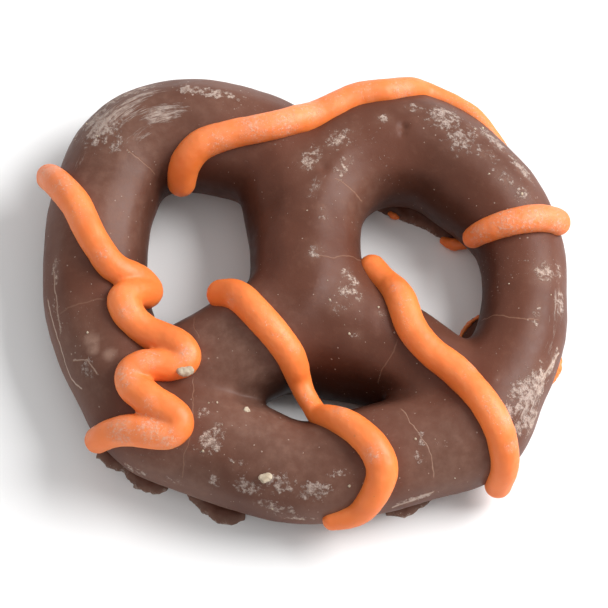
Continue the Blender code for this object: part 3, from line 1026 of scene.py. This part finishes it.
def milk_chocolate(groups, coat):
    made, tree, shader, spot = finish("milk_chocolate")
    flecked_and_rim_lit = stored(tree, "flecks_and_rim_light")
    broad = noise(tree, spot, 90, 3).outputs["Fac"]
    fine = noise(tree, spot, 900, 4, 0.6).outputs["Fac"]
    bloom_and_rim_light = rubbed_bloom_and_rim_light(tree, groups["flecking"], spot, flecked_and_rim_lit, broad)
    patchy = ramp(tree, noise(tree, spot, 1500, 2).outputs["Fac"], 0.3, 0.7, 0.6, 1.0)
    lines = hairlines(tree, spot, coat, groups["hairline"])
    specks = use(tree, groups["specks"], "Mask", Place=spot, Scale=1300.0, Share=0.7)
    pale = tint(tree, ramp(tree, broad, 0.45, 0.6), BLOOM_AND_RIM_LIGHT_GREY, BLOOM_AND_RIM_LIGHT_PALE)
    # Strong hairlines turn pale: scratches, and one painted highlight on the coat's lower edge.
    scratch_and_highlight = tint(tree, ramp(tree, lines, 0.55, 0.9), CRACKED_BROWN, SCRATCH_AND_HIGHLIGHT_PALE)
    base = uneven_brown(tree, flecked_and_rim_lit, broad, fine)
    base = tint(tree, maths(tree, "MULTIPLY", lines, 0.75), base, scratch_and_highlight)
    # Pale bloom on the coat, and painted rim light on the feet's thin edges.
    base = tint(tree, maths(tree, "MULTIPLY", bloom_and_rim_light, patchy), base, pale)
    base = tint(tree, maths(tree, "MULTIPLY", specks, 0.6), base, DUST)
    tree.links.new(base, shader.inputs["Base Color"])
    dull = ramp(tree, fine, 0.3, 0.7, 0.40, 0.50)
    tree.links.new(maths(tree, "MULTIPLY_ADD", bloom_and_rim_light, 0.3, dull), shader.inputs["Roughness"])
    height = use(tree, groups["set_grain"], "Height", Place=spot, Swell=0.05, Grain=0.012)
    height = maths(tree, "MULTIPLY_ADD", bloom_and_rim_light, 0.05, height)
    height = maths(tree, "MULTIPLY_ADD", lines, -0.04, height)
    height = maths(tree, "MULTIPLY_ADD", specks, 0.08, height)
    raise_by(tree, shader, height)
    shader.inputs["Specular IOR Level"].default_value = 0.2
    let_light_in(shader, 0.1, (1.0, 0.5, 0.3))
    return made


def orange_icing(groups):
    made, tree, shader, spot = finish("orange_icing")
    broad = noise(tree, spot, 160, 3).outputs["Fac"]
    facing = add(tree, "ShaderNodeTexCoord").outputs["Normal"]
    up = add(tree, "ShaderNodeSeparateXYZ", {"Vector": facing}).outputs["Z"]
    # Up-facing tops of the icing, for a painted highlight and for wear on the crests.
    lit_and_worn_crest = maths(tree, "MULTIPLY", ramp(tree, up, 0.6, 0.95), ramp(tree, broad, 0.42, 0.62, 0.25, 1.0))
    scuffed = stored(tree, "scuffs")
    worn = maths(tree, "MULTIPLY", maths(tree, "SQRT", scuffed), 0.72)
    chafed = maths(tree, "MAXIMUM", worn, maths(tree, "MULTIPLY", lit_and_worn_crest, 0.58))
    rubbed = use(tree, groups["flecking"], "Mask", Place=spot, Scale=3000.0, Cover=chafed)
    dusty = ramp(tree, noise(tree, spot, 1100, 5, 0.7).outputs["Fac"], 0.35, 0.65, 0.15, 1.0)
    dulled = maths(tree, "MULTIPLY", maths(tree, "MULTIPLY", scuffed, dusty), 0.6)
    specks = use(tree, groups["specks"], "Mask", Place=spot, Scale=900.0, Share=0.4)
    base = tint(tree, ramp(tree, broad, 0.35, 0.65), ORANGE, BRIGHT_ORANGE)
    # Painted highlight: up-facing crests turn lighter orange.
    base = tint(tree, maths(tree, "MULTIPLY", lit_and_worn_crest, 0.4), base, HIGHLIGHT_ORANGE)
    base = tint(tree, dulled, base, DULL_ORANGE)
    base = tint(tree, maths(tree, "MULTIPLY", rubbed, 0.65), base, PALE_ORANGE)
    base = tint(tree, maths(tree, "MULTIPLY", specks, 0.45), base, BROWN_SPECK)
    tree.links.new(base, shader.inputs["Base Color"])
    tree.links.new(maths(tree, "MULTIPLY_ADD", rubbed, 0.2, 0.48), shader.inputs["Roughness"])
    height = use(tree, groups["set_grain"], "Height", Place=spot, Swell=0.06, Grain=0.010)
    raise_by(tree, shader, maths(tree, "MULTIPLY_ADD", rubbed, 0.03, height))
    let_light_in(shader, 0.25, (1.0, 0.4, 0.15))
    return made


def pale_crumb(groups):
    made, tree, shader, spot = finish("pale_crumb")
    patchy = noise(tree, spot, 1500, 4).outputs["Fac"]
    base = tint(tree, ramp(tree, patchy, 0.35, 0.65), CRUMB_TAN, CRUMB_PALE)
    tree.links.new(base, shader.inputs["Base Color"])
    shader.inputs["Roughness"].default_value = 0.85
    raise_by(tree, shader, use(tree, groups["set_grain"], "Height", Place=spot, Swell=0.1, Grain=0.05))
    return made


def pale_floor(groups):
    made, tree, shader, spot = finish("pale_floor")
    shade = noise(tree, spot, 6, 2).outputs["Fac"]
    base = tint(tree, ramp(tree, shade, 0.3, 0.7), FLOOR_GREY, FLOOR_WHITE)
    tree.links.new(base, shader.inputs["Base Color"])
    shader.inputs["Roughness"].default_value = 0.7
    raise_by(tree, shader, use(tree, groups["set_grain"], "Height", Place=spot, Swell=0.0, Grain=0.005))
    return made


def cover(obj, finish_made):
    obj.data.materials.clear()
    obj.data.materials.append(finish_made)
    select_only(obj)
    bpy.ops.object.shade_smooth_by_angle(angle=SMOOTH_ANGLE)


# The studio

def lay_floor(finish_made):
    bpy.ops.object.select_all(action="DESELECT")
    bpy.ops.mesh.primitive_plane_add(size=FLOOR_SIZE, location=(0, 0, -FLOOR_DROP))
    floor = bpy.context.object
    floor.name = "floor"
    bpy.ops.object.transform_apply(location=True, rotation=True, scale=True)
    floor.data.materials.append(finish_made)


def hang_lamp(name, location, size, power):
    bpy.ops.object.light_add(type="AREA", location=location)
    lamp = bpy.context.object
    lamp.name = name
    lamp.data.size = size
    lamp.data.energy = power
    lamp.rotation_euler = (CAMERA_AIM - lamp.location).to_track_quat("-Z", "Y").to_euler()


def light_studio():
    hang_lamp("key", KEY_LAMP_PLACE, KEY_LAMP_SIZE, KEY_LAMP_POWER)
    world = bpy.data.worlds.new("studio")
    bpy.context.scene.world = world
    world.use_nodes = True
    sky = world.node_tree.nodes["Background"]
    sky.inputs["Color"].default_value = (1.0, 1.0, 1.0, 1.0)
    sky.inputs["Strength"].default_value = SKY_STRENGTH
    bpy.context.scene.view_settings.view_transform = "Standard"


def set_camera():
    back = Vector((0, -math.cos(CAMERA_HEIGHT_ANGLE), math.sin(CAMERA_HEIGHT_ANGLE)))
    bpy.ops.object.camera_add(
        location=CAMERA_AIM + back * CAMERA_DISTANCE,
        rotation=(math.pi / 2 - CAMERA_HEIGHT_ANGLE, 0, 0),
    )
    camera = bpy.context.object
    camera.data.lens = CAMERA_LENS
    camera.data.sensor_width = CAMERA_SENSOR
    camera.data.clip_start = NEAREST_SEEN
    bpy.context.scene.camera = camera


def main():
    set_camera()
    light_studio()
    groups = {
        "flecking": flecking_group(),
        "hairline": hairline_group(),
        "set_grain": grain_group(),
        "specks": speck_group(),
    }
    coat = melt_coat()
    soft_coat = surface(coat)
    lines = [pipe_line(name, rows, soft_coat) for name, rows in ICING.items()]
    bits = break_bits()
    feet = spread_feet()
    finish_coat(coat)
    rub(coat)
    mark(coat, "haze_and_rim_light", HAZY)
    for line in lines:
        mark(line, "scuffs", SCUFFED)
    store_closed_in_shade(coat)
    paint_rim_light(feet)
    set_coat = surface(coat)
    crumbs = scatter_crumbs(set_coat)
    chocolate = milk_chocolate(groups, set_coat)
    icing = orange_icing(groups)
    for obj in (coat, feet):
        cover(obj, chocolate)
    for obj in lines + [bits]:
        cover(obj, icing)
    cover(crumbs, pale_crumb(groups))
    for obj in [coat, feet, bits, crumbs] + lines:
        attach(obj, "root")
    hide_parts("chocolate_pretzel")
    lay_floor(pale_floor(groups))


main()
